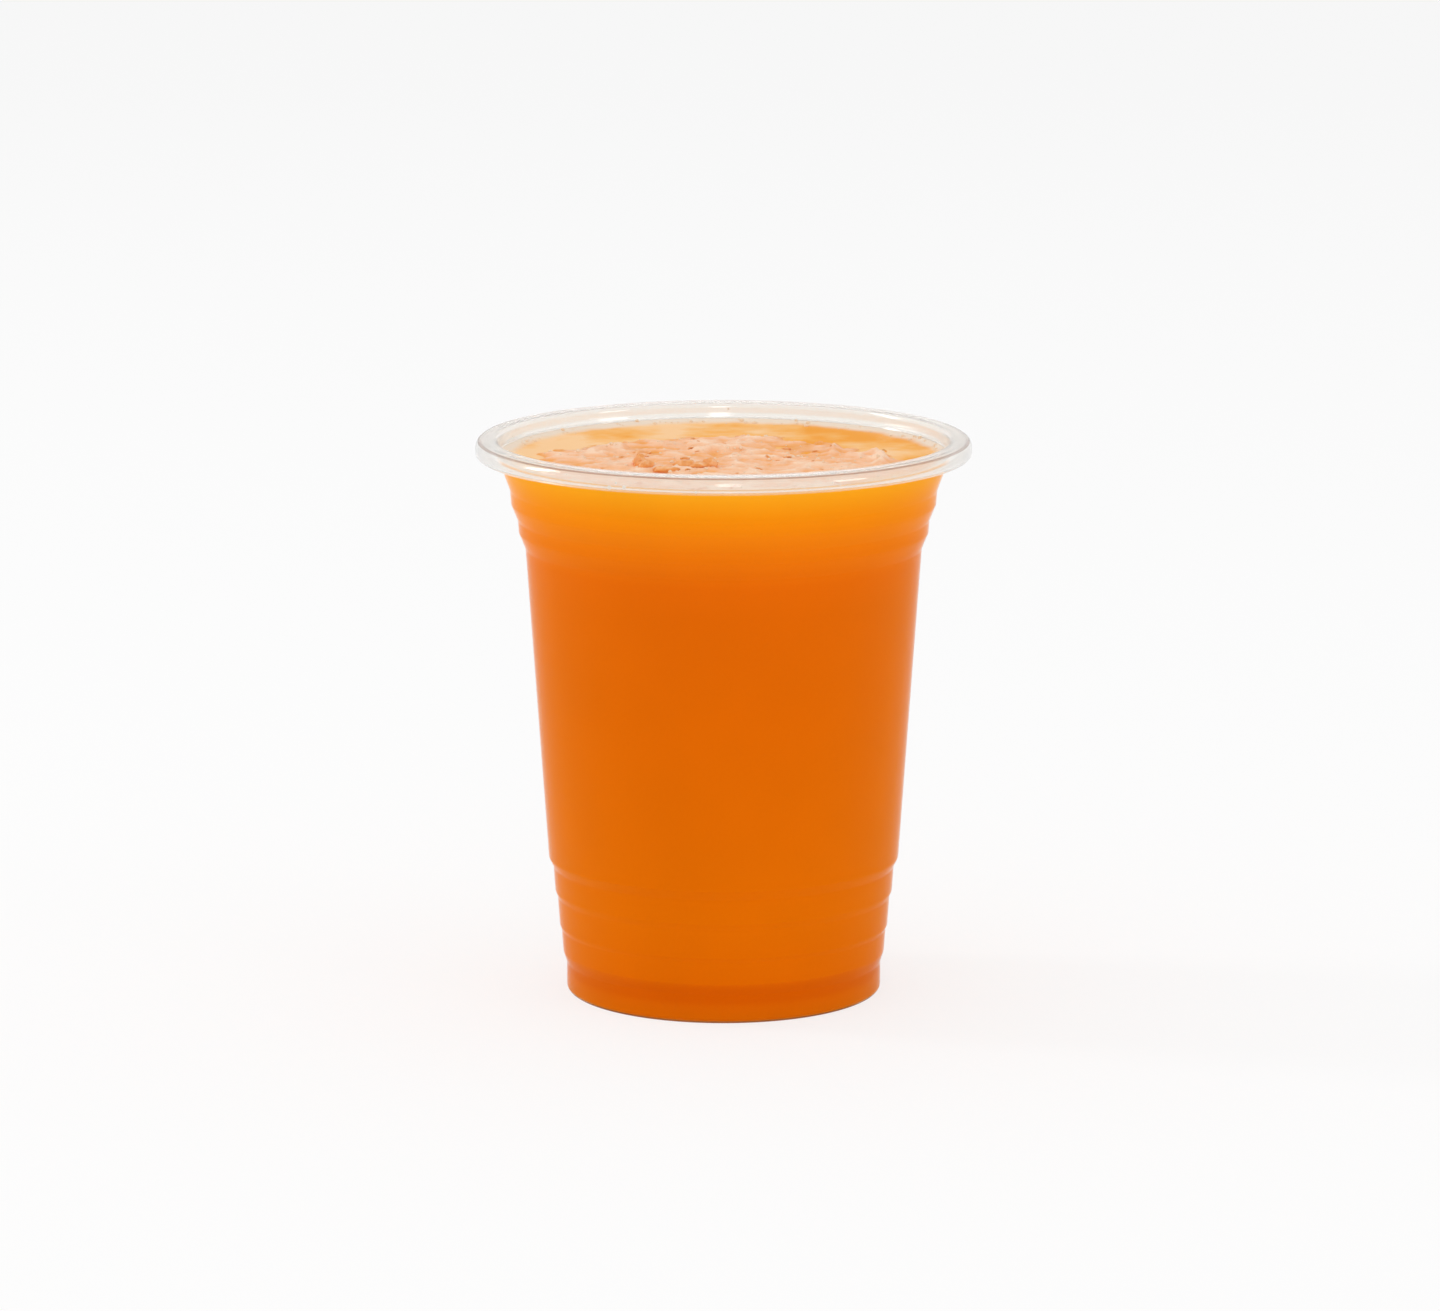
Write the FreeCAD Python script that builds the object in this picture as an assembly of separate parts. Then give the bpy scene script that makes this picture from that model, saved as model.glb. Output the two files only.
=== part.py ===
"""A clear thermoformed plastic cup, filled almost to the brim with carrot juice.

Three pieces: the cup, the juice that fills it, and the raft of froth that floats
on the juice. Millimetres, +Z up. The origin is on the cup's axis, in the plane
that the foot ring stands on.
"""
import FreeCAD, Part

import math
import os

# ---- driving dimensions -------------------------------------------------------

# The whole cup.
HEIGHT = 108.0
RIM_DIAMETER = 95.0
FOOT_DIAMETER = 60.8
WALL = 0.45

# Every bend's radius is that of the sheet's tighter skin; the other adds the wall.

# The curled rim: the sheet is rolled outwards and down into a hollow bead.
RIM_WIDTH = 4.4
RIM_HEIGHT = 3.6
CURL_GAP = 0.7          # left open between the end of the curl and the wall
MOUTH_ROUND = 0.7
RIM_TOP_ROUND = 1.4
RIM_BOTTOM_ROUND = 0.5

# The mouth narrows below the rim, down a slope that ends in a short band.
LIP_DEPTH = 2.5         # straight part of the lip below the top of the cup
FLARE_HEIGHT = 7.5
FLARE_INSET = 2.66
MOUTH_BAND = 2.6

# Steps in the wall, from the top down: the height of the sloping ledge, how far
# it steps in, and the height of the band that follows. The tall plain body of
# the cup takes whatever height is left between the two groups.
SHOULDER_LEDGE = (3.1, 1.27)
SHOULDER_BAND = 2.4
LOWER_STEPS = (
    (1.8, 0.86, 4.8),
    (1.2, 0.46, 5.6),
    (0.8, 0.34, 4.4),
)
FOOT_LEDGE = (2.2, 0.70)
FOOT_HEIGHT = 5.5

LIP_ROUND = 2.5
LEDGE_ROUND = 0.5
SMALL_LEDGE_ROUND = 0.3

# The foot ring and the raised floor inside it.
HEEL_ROUND = 0.55
FOOT_RING_WIDTH = 1.6   # the flat that the cup stands on
RING_ROUND = 0.35
FLOOR_RISE = 3.6
FLOOR_SLOPE_WIDTH = 1.8
FLOOR_ROUND = 1.2

# The drink.
FREEBOARD = 4.1         # from the top of the rim down to the juice
FROTH_DEPTH = 1.0       # how far the froth sinks into the juice
FROTH_PROUD = 0.6       # how far it stands out of it
FROTH_DIAMETER = 68.0
FROTH_TRIM = 2.5        # it has drifted to the front, -Y, where the wall cuts this off it
FROTH_EDGE_ROUND = 0.4
# Its edge wanders by these waves: how many round the edge, share of radius, phase.
FROTH_WAVES = ((2, 0.025, 0.4), (3, 0.030, 1.9), (5, 0.040, 0.8), (9, 0.022, 2.6))
FROTH_POINTS_PER_WAVE = 4

# ---- worked out from them -----------------------------------------------------

FOOT_RADIUS = FOOT_DIAMETER / 2
LIP_RADIUS = RIM_DIAMETER / 2 - RIM_WIDTH + WALL     # outer skin of the straight lip
JUICE_LEVEL = HEIGHT - FREEBOARD

# ---- helpers ------------------------------------------------------------------


def line(start, end):
    """A straight edge."""
    return Part.LineSegment(start, end).toShape()


def at(radius, height):
    """A point of the section, at a radius and a height."""
    return FreeCAD.Vector(radius, 0, height)


def offset_corner(before, corner, after, distance):
    """Move a corner of a path so that both its sides shift left by the distance."""
    first = (corner - before).normalize()
    second = (after - corner).normalize()
    left = FreeCAD.Vector(-first.z, 0, first.x)
    left_after = FreeCAD.Vector(-second.z, 0, second.x)
    across = left + left_after
    return corner + across * (2 * distance / across.dot(across))


def skin(path, distance):
    """One skin of a sheet that lies left of the path: (point, radius), moved left."""
    points = [point for point, radius in path]
    start = offset_corner(points[0] * 2 - points[1], points[0], points[1], distance)
    end = offset_corner(points[-2], points[-1], points[-1] * 2 - points[-2], distance)
    moved = [(start, 0)]
    for before, (corner, radius), after in zip(points, path[1:-1], points[2:]):
        # Seen with +X right and +Z up, a left turn has a negative Y component.
        turns_left = (corner - before).cross(after - corner).y < 0
        from_tight_side = WALL - distance if turns_left else distance
        moved_corner = offset_corner(before, corner, after, distance)
        moved.append((moved_corner, radius + from_tight_side))
    return moved + [(end, 0)]


def rounded_edges(path):
    """Lines along a path of (point, radius), with a tangent arc at each corner."""
    edges = []
    last = path[0][0]
    for (corner, radius), (after, _) in zip(path[1:-1], path[2:]):
        back = (last - corner).normalize()
        ahead = (after - corner).normalize()
        half_angle = back.getAngle(ahead) / 2
        reach = radius / math.tan(half_angle)
        middle = (back + ahead).normalize()
        centre = corner + middle * (radius / math.sin(half_angle))
        arc_start = corner + back * reach
        arc_end = corner + ahead * reach
        edges.append(line(last, arc_start))
        edges.append(Part.Arc(arc_start, centre - middle * radius, arc_end).toShape())
        last = arc_end
    edges.append(line(last, path[-1][0]))
    return edges


def revolve(edges):
    """Turn a closed outline in the XZ plane into a solid round the Z axis."""
    face = Part.Face(Part.Wire(edges))
    solid = face.revolve(FreeCAD.Vector(0, 0, 0), FreeCAD.Vector(0, 0, 1), 360)
    return solid if solid.Volume > 0 else solid.reversed()


# ---- the cup ------------------------------------------------------------------


def cup_levels():
    """Radius, height and corner radius down the outside of the wall, from the lip."""
    # From the top down, (height, inset, corner radius) of each ledge.
    ledges = [(FLARE_HEIGHT, FLARE_INSET, LIP_ROUND)]
    ledges += [SHOULDER_LEDGE + (LEDGE_ROUND,)] * 2
    ledges += [(height, inset, SMALL_LEDGE_ROUND) for height, inset, band in LOWER_STEPS]
    ledges += [FOOT_LEDGE + (LEDGE_ROUND,)]

    bands = [MOUTH_BAND, SHOULDER_BAND]
    lower_bands = [band for height, inset, band in LOWER_STEPS]
    above_foot = HEIGHT - LIP_DEPTH - FOOT_HEIGHT
    body = above_foot - sum(ledge[0] for ledge in ledges) - sum(bands) - sum(lower_bands)
    bands += [body] + lower_bands

    # Every band leans by the same taper, which is what the ledges leave over.
    taper = (LIP_RADIUS - FOOT_RADIUS - sum(ledge[1] for ledge in ledges)) / sum(bands)

    radius = LIP_RADIUS
    height = HEIGHT - LIP_DEPTH
    levels = []
    for (drop, inset, round_radius), band in zip(ledges, bands + [0]):
        levels.append((radius, height, round_radius))
        radius -= inset
        height -= drop
        levels.append((radius, height, min(round_radius, LEDGE_ROUND)))
        radius -= band * taper
        height -= band
    return levels


def wall_path():
    """The outer skin with sharp bends, from the middle of the floor up to the lip."""
    ring_inside = FOOT_RADIUS - WALL - HEEL_ROUND - FOOT_RING_WIDTH
    floor_radius = ring_inside - FLOOR_SLOPE_WIDTH
    path = [
        (at(0, FLOOR_RISE), 0),
        (at(floor_radius, FLOOR_RISE), FLOOR_ROUND),
        (at(ring_inside, 0), RING_ROUND),
        (at(FOOT_RADIUS, 0), HEEL_ROUND),
    ]
    for radius, height, rounding in reversed(cup_levels()):
        path.append((at(radius, height), rounding))
    return path


def curl_path():
    """The rest of the outer skin, which in the curl faces the bead's hollow."""
    hollow_top = HEIGHT - WALL
    hollow_outside = RIM_DIAMETER / 2 - WALL
    hollow_bottom = HEIGHT - RIM_HEIGHT + WALL
    return [
        (at(LIP_RADIUS, hollow_top), MOUTH_ROUND),
        (at(hollow_outside, hollow_top), RIM_TOP_ROUND),
        (at(hollow_outside, hollow_bottom), RIM_BOTTOM_ROUND),
        (at(LIP_RADIUS + CURL_GAP, hollow_bottom), 0),
    ]


def make_cup():
    """The sheet between its outer skin and the inner skin, one wall away."""
    path = wall_path() + curl_path()
    outer = skin(path, 0)
    inner = skin(path, WALL)
    edges = rounded_edges(outer)
    edges.append(line(outer[-1][0], inner[-1][0]))
    edges += rounded_edges(inner)[::-1]
    edges.append(line(inner[0][0], outer[0][0]))
    return revolve(edges)


def make_cavity():
    """The cup's inside, from its floor up past the lip to the plane of the rim."""
    inner = skin(wall_path() + [(at(LIP_RADIUS, HEIGHT), 0)], WALL)
    middle_top = at(0, HEIGHT)
    edges = rounded_edges(inner)
    edges.append(line(inner[-1][0], middle_top))
    edges.append(line(middle_top, inner[0][0]))
    return revolve(edges)


# ---- the drink ----------------------------------------------------------------


def make_froth(cavity):
    """A thin raft with a wavy edge, pushed up against the front of the cup."""
    mouth_radius = cavity.slice(FreeCAD.Vector(0, 0, 1), JUICE_LEVEL)[0].BoundBox.XMax
    drift = mouth_radius + FROTH_TRIM - FROTH_DIAMETER / 2
    point_count = FROTH_POINTS_PER_WAVE * max(count for count, size, phase in FROTH_WAVES)
    points = []
    for step in range(point_count):
        angle = 2 * math.pi * step / point_count
        swing = sum(size * math.sin(count * angle + phase) for count, size, phase in FROTH_WAVES)
        radius = FROTH_DIAMETER / 2 * (1 + swing)
        x = radius * math.cos(angle)
        y = radius * math.sin(angle) - drift
        points.append(FreeCAD.Vector(x, y, JUICE_LEVEL - FROTH_DEPTH))
    curve = Part.BSplineCurve()
    curve.interpolate(points, PeriodicFlag=True)
    outline = Part.Face(Part.Wire([curve.toShape()]))
    raft = outline.extrude(FreeCAD.Vector(0, 0, FROTH_DEPTH + FROTH_PROUD)).common(cavity)
    top_face = max(raft.Faces, key=lambda face: face.CenterOfMass.z)
    return raft.makeFillet(FROTH_EDGE_ROUND, top_face.Edges)


def make_juice(cavity, froth):
    """The cavity up to the level, with the froth's place left out."""
    below_level = Part.makeCylinder(RIM_DIAMETER / 2, JUICE_LEVEL)
    return cavity.common(below_level).cut(froth)


# ---- write the pieces ---------------------------------------------------------


def main():
    os.makedirs("parts", exist_ok=True)
    cavity = make_cavity()
    froth = make_froth(cavity)
    pieces = {
        "cup": make_cup(),
        "juice": make_juice(cavity, froth),
        "froth": froth,
    }
    for name, shape in pieces.items():
        shape.exportStep(f"parts/{name}.step")
        box = shape.optimalBoundingBox(False)
        print(name, "solids", len(shape.Solids), "valid", shape.isValid(),
              "volume", round(shape.Volume, 1), "z", round(box.ZMin, 3), round(box.ZMax, 3))


main()
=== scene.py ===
# %% [markdown]
# # A clear plastic cup of carrot juice
#
# A disposable cup, thermoformed from clear polypropylene sheet, is filled almost to
# the brim with carrot juice. A raft of pulpy froth floats on the juice, against the
# front of the cup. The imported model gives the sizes: the cup, the juice and the froth
# are its three nodes, and the pieces take their outlines and heights from them. Only
# the lumps and ridges of the froth have places of their own, in millimetres from the
# axis.
#
# Lengths are in metres, +Z is up, and -Y is the front.

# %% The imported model
import math

import bmesh
import bpy
from mathutils import Matrix, Vector, noise


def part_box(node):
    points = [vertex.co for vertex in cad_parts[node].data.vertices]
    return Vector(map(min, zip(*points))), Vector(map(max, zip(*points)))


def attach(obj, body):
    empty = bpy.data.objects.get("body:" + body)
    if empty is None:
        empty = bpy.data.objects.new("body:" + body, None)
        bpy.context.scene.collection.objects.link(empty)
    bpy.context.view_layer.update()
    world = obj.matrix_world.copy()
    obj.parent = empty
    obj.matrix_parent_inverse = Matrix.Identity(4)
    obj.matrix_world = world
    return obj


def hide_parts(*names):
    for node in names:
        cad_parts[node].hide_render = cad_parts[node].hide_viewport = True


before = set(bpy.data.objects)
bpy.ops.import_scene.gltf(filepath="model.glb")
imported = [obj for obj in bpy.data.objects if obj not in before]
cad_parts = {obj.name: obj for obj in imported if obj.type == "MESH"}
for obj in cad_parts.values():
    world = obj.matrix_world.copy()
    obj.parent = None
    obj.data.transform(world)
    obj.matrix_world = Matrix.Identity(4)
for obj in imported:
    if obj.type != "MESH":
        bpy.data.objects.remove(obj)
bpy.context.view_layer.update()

MM = 0.001
cup_low, cup_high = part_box("cup")
juice_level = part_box("juice")[1].z
print("cup", [round(size / MM, 1) for size in cup_high - cup_low], "mm",
      "juice level", round(juice_level / MM, 1), "mm")

# %% [markdown]
# ## Two small helpers
#
# Colours are written as the eye sees them, as sRGB hex values, and Cycles wants them
# linear. Every node below, in a material or in a Geometry Nodes tree, is added by one
# function: an input that is given as a socket gets linked, and any other value is set
# on the input itself.

# %% Colours and nodes


def linear(hex_colour):
    """An sRGB hex colour as linear red, green, blue and an alpha of one."""
    channels = [int(hex_colour[i:i + 2], 16) / 255 for i in (0, 2, 4)]
    return [c / 12.92 if c < 0.04045 else ((c + 0.055) / 1.055) ** 2.4 for c in channels] + [1]


def add(tree, kind, inputs=None, stops=(), **properties):
    """Add a node. Stops are the (place, hex colour) pairs of a colour ramp."""
    node = tree.nodes.new(kind)
    for name, value in properties.items():
        setattr(node, name, value)
    for key, value in (inputs or {}).items():
        if isinstance(value, bpy.types.NodeSocket):
            tree.links.new(value, node.inputs[key])
        else:
            node.inputs[key].default_value = value
    for number, (place, colour) in enumerate(stops):
        elements = node.color_ramp.elements
        element = elements[number] if number < 2 else elements.new(place)
        element.position = place
        element.color = linear(colour)
    return node


# %% [markdown]
# ## Camera
#
# A product shot: a long lens from a metre and a quarter away, looking down on the cup
# by eleven degrees, so that the rim shows as a narrow ellipse.

# %% Camera
CAMERA_PLACE = (-0.0007, -1.2274, 0.3044)
CAMERA_TILT_DOWN = 11.02
LENS = 162.5             # in millimetres, as is the width of the sensor behind it
SENSOR_WIDTH = 36
LIGHT_BOUNCES = 32       # the hollow rim is many layers of plastic, one behind another

scene = bpy.context.scene
camera = bpy.data.objects.new("camera", bpy.data.cameras.new("camera"))
camera.data.lens = LENS
camera.data.sensor_width = SENSOR_WIDTH
camera.location = CAMERA_PLACE
camera.rotation_euler = (math.radians(90 - CAMERA_TILT_DOWN), 0, 0)
scene.collection.objects.link(camera)
scene.camera = camera
scene.view_settings.view_transform = "Standard"
scene.cycles.max_bounces = LIGHT_BOUNCES
scene.cycles.transmission_bounces = LIGHT_BOUNCES
print("camera", round(camera.location.length, 2), "m from the foot of the cup")

# %% [markdown]
# ## Studio
#
# The cup stands on a sheet of white paper that is lit so evenly that it is almost as
# bright as the paper can be. A faint shadow goes off to the right, because the lamp on
# the left is stronger than the other two. White paper could be had by more light, but
# that light would wash out the drink. So the camera sees most of the white as a plain
# colour, and only a share of the floor takes real light and shadow. Gloss and clear
# plastic show what the camera would see there. The lamps were placed for the glints on
# the rim and the shadow.

# %% Floor and surroundings
WHITE = "fbfbfb"
FLOOR_SHADED_SHARE = 0.30
# The plain share is full white up to FLOOR_NEAR behind the axis, and a trace darker
# from FLOOR_FAR on.
FLOOR_NEAR = 0.1
FLOOR_FAR = 1.6
FLOOR_SWEEP = ((0.0, "ffffff"), (1.0, "fafafa"))
SKY_LIGHT = 0.87


def seen_directly(tree):
    """One for a ray from the camera, or one that gloss or clear plastic sent on."""
    path = add(tree, "ShaderNodeLightPath").outputs
    either = add(tree, "ShaderNodeMath", {0: path["Is Camera Ray"], 1: path["Is Glossy Ray"]},
                 operation="MAXIMUM")
    return add(tree, "ShaderNodeMath", {0: either.outputs[0], 1: path["Is Transmission Ray"]},
               operation="MAXIMUM").outputs[0]


paper = bpy.data.materials.new("white_paper")
paper.use_nodes = True
tree = paper.node_tree
tree.nodes.clear()
lit = add(tree, "ShaderNodeBsdfDiffuse", {"Color": linear(WHITE)})
along = add(tree, "ShaderNodeTexCoord").outputs["Object"]
along = add(tree, "ShaderNodeSeparateXYZ", {0: along}).outputs["Y"]
far = add(tree, "ShaderNodeMapRange", {"Value": along, "From Min": FLOOR_NEAR,
                                       "From Max": FLOOR_FAR}).outputs[0]
sweep = add(tree, "ShaderNodeValToRGB", {0: far}, stops=FLOOR_SWEEP)
plain = add(tree, "ShaderNodeEmission", {"Color": sweep.outputs[0], "Strength": 1})
plain_share = add(tree, "ShaderNodeMath", {0: seen_directly(tree), 1: 1 - FLOOR_SHADED_SHARE},
                  operation="MULTIPLY")
surface = add(tree, "ShaderNodeMixShader",
              {0: plain_share.outputs[0], 1: lit.outputs[0], 2: plain.outputs[0]})
add(tree, "ShaderNodeOutputMaterial", {"Surface": surface.outputs[0]})

FLOOR_HALF = 6.0
floor_mesh = bpy.data.meshes.new("floor")
corners = [(-FLOOR_HALF, -FLOOR_HALF), (FLOOR_HALF, -FLOOR_HALF),
           (FLOOR_HALF, FLOOR_HALF), (-FLOOR_HALF, FLOOR_HALF)]
floor_mesh.from_pydata([(x, y, cup_low.z) for x, y in corners], [], [(0, 1, 2, 3)])
floor_mesh.materials.append(paper)
floor = bpy.data.objects.new("floor", floor_mesh)
scene.collection.objects.link(floor)

world = bpy.data.worlds.new("studio")
scene.world = world
world.use_nodes = True
tree = world.node_tree
tree.nodes.clear()
light = add(tree, "ShaderNodeBackground", {"Color": linear("ffffff"), "Strength": SKY_LIGHT})
white = add(tree, "ShaderNodeBackground", {"Color": linear(WHITE), "Strength": 1})
surface = add(tree, "ShaderNodeMixShader",
              {0: seen_directly(tree), 1: light.outputs[0], 2: white.outputs[0]})
add(tree, "ShaderNodeOutputWorld", {"Surface": surface.outputs[0]})
print("floor", 2 * FLOOR_HALF, "m across, sky", SKY_LIGHT)

# %% Lamps
# Each lamp: the side it stands on and its height, both in degrees, its distance, its
# width and its length, and about what share of white it gives a surface facing it. The
# sides are counted from the right, by way of the back.
LAMPS = {
    "left_softbox": (168, 30, 2.2, 0.35, 0.90, 0.14),
    "right_fill": (330, 12, 2.2, 0.60, 0.60, 0.06),
    "front_softbox": (272, 15, 1.7, 0.28, 0.90, 0.06),
}

for name, (around, height, distance, width, length, share) in LAMPS.items():
    lamp = bpy.data.lights.new(name, "AREA")
    lamp.shape = "RECTANGLE"
    lamp.size = width
    lamp.size_y = length
    lamp.energy = share * math.pi ** 2 * distance ** 2
    lamp_object = bpy.data.objects.new(name, lamp)
    around, height = math.radians(around), math.radians(height)
    direction = Vector((math.cos(around) * math.cos(height),
                        math.sin(around) * math.cos(height), math.sin(height)))
    lamp_object.location = direction * distance
    lamp_object.rotation_euler = direction.to_track_quat("Z", "Y").to_euler()
    scene.collection.objects.link(lamp_object)
    print("lamp", name, round(lamp.energy, 2), "W")

# %% [markdown]
# ## The outline of the cup
#
# The cup is a body of revolution, so one outline says everything about its shape. The
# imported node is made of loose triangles, and its seam lies in the plane y = 0. Read
# along that seam, the edges give the outline in pieces. A flat ring has no seam, so a
# piece ends at each side of it, and the two ends have the same height. The two ends
# that are left over belong to the floor of the cup, which reaches the axis.

# %% The outline, read off the node
TINY = 1e-6


def seam_pieces(mesh):
    """The seam's edges, joined into open chains of (radius, height)."""
    next_to = {}
    for edge in mesh.edges:
        ends = [mesh.vertices[number].co for number in edge.vertices]
        if all(abs(end.y) < TINY and end.x > TINY for end in ends):
            start, stop = [(round(end.x, 7), round(end.z, 7)) for end in ends]
            if start != stop:
                next_to.setdefault(start, set()).add(stop)
                next_to.setdefault(stop, set()).add(start)
    pieces = []
    for start in [point for point, others in next_to.items() if len(others) == 1]:
        if any(start in piece for piece in pieces):
            continue
        piece = [start]
        while True:
            onward = [point for point in next_to[piece[-1]] if point not in piece[-2:]]
            if not onward:
                break
            piece.append(onward[0])
        pieces.append(piece)
    return pieces


def closed_outline(mesh):
    """The whole outline, from the underside of the floor round to its upper side."""
    pieces = seam_pieces(mesh)
    heights = [end[1] for piece in pieces for end in (piece[0], piece[-1])]
    loose = [height for height in heights
             if sum(abs(height - other) < TINY for other in heights) == 1]
    height = min(loose)
    outline = [(0.0, height)]
    while pieces:
        piece = next(p for p in pieces if abs(p[0][1] - height) < TINY
                     or abs(p[-1][1] - height) < TINY)
        pieces.remove(piece)
        outline += piece if abs(piece[0][1] - height) < TINY else piece[::-1]
        height = outline[-1][1]
    return outline + [(0.0, height)]


cup_outline = closed_outline(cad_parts["cup"].data)
print("outline", len(cup_outline), "points")

# %% [markdown]
# ## Turning an outline into a skin
#
# A lathe turns a section round an axis. Here that is done by a rule in Geometry Nodes:
# a flat grid gets one row for each point of the section and one column for each point
# of a path that goes once round, and every point of the grid is moved to its place.
# The section's first number stretches the path's point away from the axis, and its
# second is a height. With a circle of radius one for the path, this is a lathe. With
# a wavy loop, it makes a raft with a wavy edge. The last column meets the first, and
# the points on the axis meet each other, so all of them are merged.

# %% The rule
SEAM_MERGE = 1e-6


def new_tree(name, **inputs):
    """An empty tree with named inputs, given as their kinds of socket."""
    tree = bpy.data.node_groups.new(name, "GeometryNodeTree")
    tree.interface.new_socket("Geometry", in_out="OUTPUT", socket_type="NodeSocketGeometry")
    for label, kind in inputs.items():
        tree.interface.new_socket(label, in_out="INPUT", socket_type="NodeSocket" + kind)
    return tree, add(tree, "NodeGroupInput").outputs


def finish_tree(tree, geometry, material):
    """Make copies real, give the faces their material and smooth shading, and end the tree."""
    real = add(tree, "GeometryNodeRealizeInstances", {0: geometry})
    smooth = add(tree, "GeometryNodeSetShadeSmooth", {0: real.outputs[0]})
    painted = add(tree, "GeometryNodeSetMaterial", {0: smooth.outputs[0], "Material": material})
    add(tree, "NodeGroupOutput", {0: painted.outputs[0]})


skin_tree, given = new_tree("skin_round_an_axis", Section="Object", Path="Object",
                            Material="Material")
section = add(skin_tree, "GeometryNodeObjectInfo", {0: given["Section"]}).outputs["Geometry"]
path = add(skin_tree, "GeometryNodeObjectInfo", {0: given["Path"]}).outputs["Geometry"]
rows = add(skin_tree, "GeometryNodeAttributeDomainSize", {0: section}).outputs["Point Count"]
turns = add(skin_tree, "GeometryNodeAttributeDomainSize", {0: path}).outputs["Point Count"]
columns = add(skin_tree, "ShaderNodeMath", {0: turns, 1: 1}, operation="ADD").outputs[0]
grid = add(skin_tree, "GeometryNodeMeshGrid", {"Vertices X": rows, "Vertices Y": columns})
index = add(skin_tree, "GeometryNodeInputIndex").outputs[0]
row = add(skin_tree, "ShaderNodeMath", {0: index, 1: columns}, operation="DIVIDE").outputs[0]
row = add(skin_tree, "ShaderNodeMath", {0: row}, operation="FLOOR").outputs[0]
column = add(skin_tree, "ShaderNodeMath", {0: index, 1: columns}, operation="MODULO").outputs[0]
column = add(skin_tree, "ShaderNodeMath", {0: column, 1: turns}, operation="MODULO").outputs[0]
point = add(skin_tree, "GeometryNodeInputPosition").outputs[0]
section_point = add(skin_tree, "GeometryNodeSampleIndex", {0: section, 1: point, 2: row},
                    data_type="FLOAT_VECTOR").outputs[0]
path_point = add(skin_tree, "GeometryNodeSampleIndex", {0: path, 1: point, 2: column},
                 data_type="FLOAT_VECTOR").outputs[0]
section_parts = add(skin_tree, "ShaderNodeSeparateXYZ", {0: section_point}).outputs
out = add(skin_tree, "ShaderNodeVectorMath", {0: path_point, "Scale": section_parts["X"]},
          operation="SCALE").outputs[0]
up = add(skin_tree, "ShaderNodeCombineXYZ", {"Z": section_parts["Z"]}).outputs[0]
place = add(skin_tree, "ShaderNodeVectorMath", {0: out, 1: up}, operation="ADD").outputs[0]
moved = add(skin_tree, "GeometryNodeSetPosition", {0: grid.outputs[0], "Position": place})
closed = add(skin_tree, "GeometryNodeMergeByDistance",
             {0: moved.outputs[0], "Distance": SEAM_MERGE})
finish_tree(skin_tree, closed.outputs[0], given["Material"])


# %% Growing a piece from a rule


def points_object(name, points):
    """A row of points for a rule to read: a mesh with vertices and no faces."""
    mesh = bpy.data.meshes.new(name)
    mesh.from_pydata([tuple(point) for point in points], [], [])
    return bpy.data.objects.new(name, mesh)


def grow(name, tree, **inputs):
    """Run a rule, keep its result as a plain mesh, and say how large it came out."""
    holder = points_object(name + "_rule", [(0, 0, 0)])
    scene.collection.objects.link(holder)
    modifier = holder.modifiers.new("rule", "NODES")
    modifier.node_group = tree
    for item in tree.interface.items_tree:
        if item.item_type == "SOCKET" and item.name in inputs:
            modifier[item.identifier] = inputs[item.name]
    seen = holder.evaluated_get(bpy.context.evaluated_depsgraph_get())
    mesh = bpy.data.meshes.new_from_object(seen)
    mesh.name = name
    bpy.data.objects.remove(holder)
    shell = bmesh.new()
    shell.from_mesh(mesh)
    bmesh.ops.recalc_face_normals(shell, faces=shell.faces)
    shell.to_mesh(mesh)
    shell.free()
    mesh.materials.clear()
    mesh.materials.append(inputs["Material"])
    mesh.polygons.foreach_set("material_index", [0] * len(mesh.polygons))
    piece = bpy.data.objects.new(name, mesh)
    scene.collection.objects.link(piece)
    mesh.calc_loop_triangles()
    print(name, len(mesh.loop_triangles), "triangles")
    return piece


def keep(piece, slot, *nodes):
    """Tie a finished piece to the part, and let it stand for the nodes it replaces."""
    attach(piece, "root")
    if nodes:
        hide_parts(*nodes)


TURNS = 192
circle = points_object("circle", [(math.cos(2 * math.pi * turn / TURNS),
                                   math.sin(2 * math.pi * turn / TURNS), 0)
                                  for turn in range(TURNS)])

# %% [markdown]
# ## Clear polypropylene
#
# The cup is thermoformed: a sheet of clear polypropylene is heated until it sags and
# is then drawn into a mould. That leaves a smooth, slightly soft gloss, with long
# shallow ripples and a trace of haze.
#
# Solid polypropylene has an index of about 1.5. With 1.45 and with 1.30 the hollow rim
# came out much too dark here, so the finishes have far lower ones, and a glossy coat
# and a faint sheen make up for it. All these values were matched, and they are not
# those of the real plastic.
#
# So low an index leaves out the dark line at the shoulder of the rim, and the drink's
# colour in the round of the heel, so both are painted into the plastic's colour: the line
# is painted shade, and the heel's orange is painted light, the drink's colour that the
# bent sheet would carry there. The crest of the rim has less coat, which dims a white
# line along it. Each of the five finishes is the same all the way round. In all of them
# the light that falls on the drink goes straight through the wall, and only what the
# eye sees through it is bent.

# %% Clear plastic
RIPPLE_WIDTH = 9 * MM
RIPPLE_HEIGHT = 0.02 * MM
COAT_INDEX = 1.7
COAT_ROUGHNESS = 0.1
HAZE = 0.22              # a sheen, which lifts the rim where it is seen edge on
HAZE_ROUGHNESS = 0.5

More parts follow.
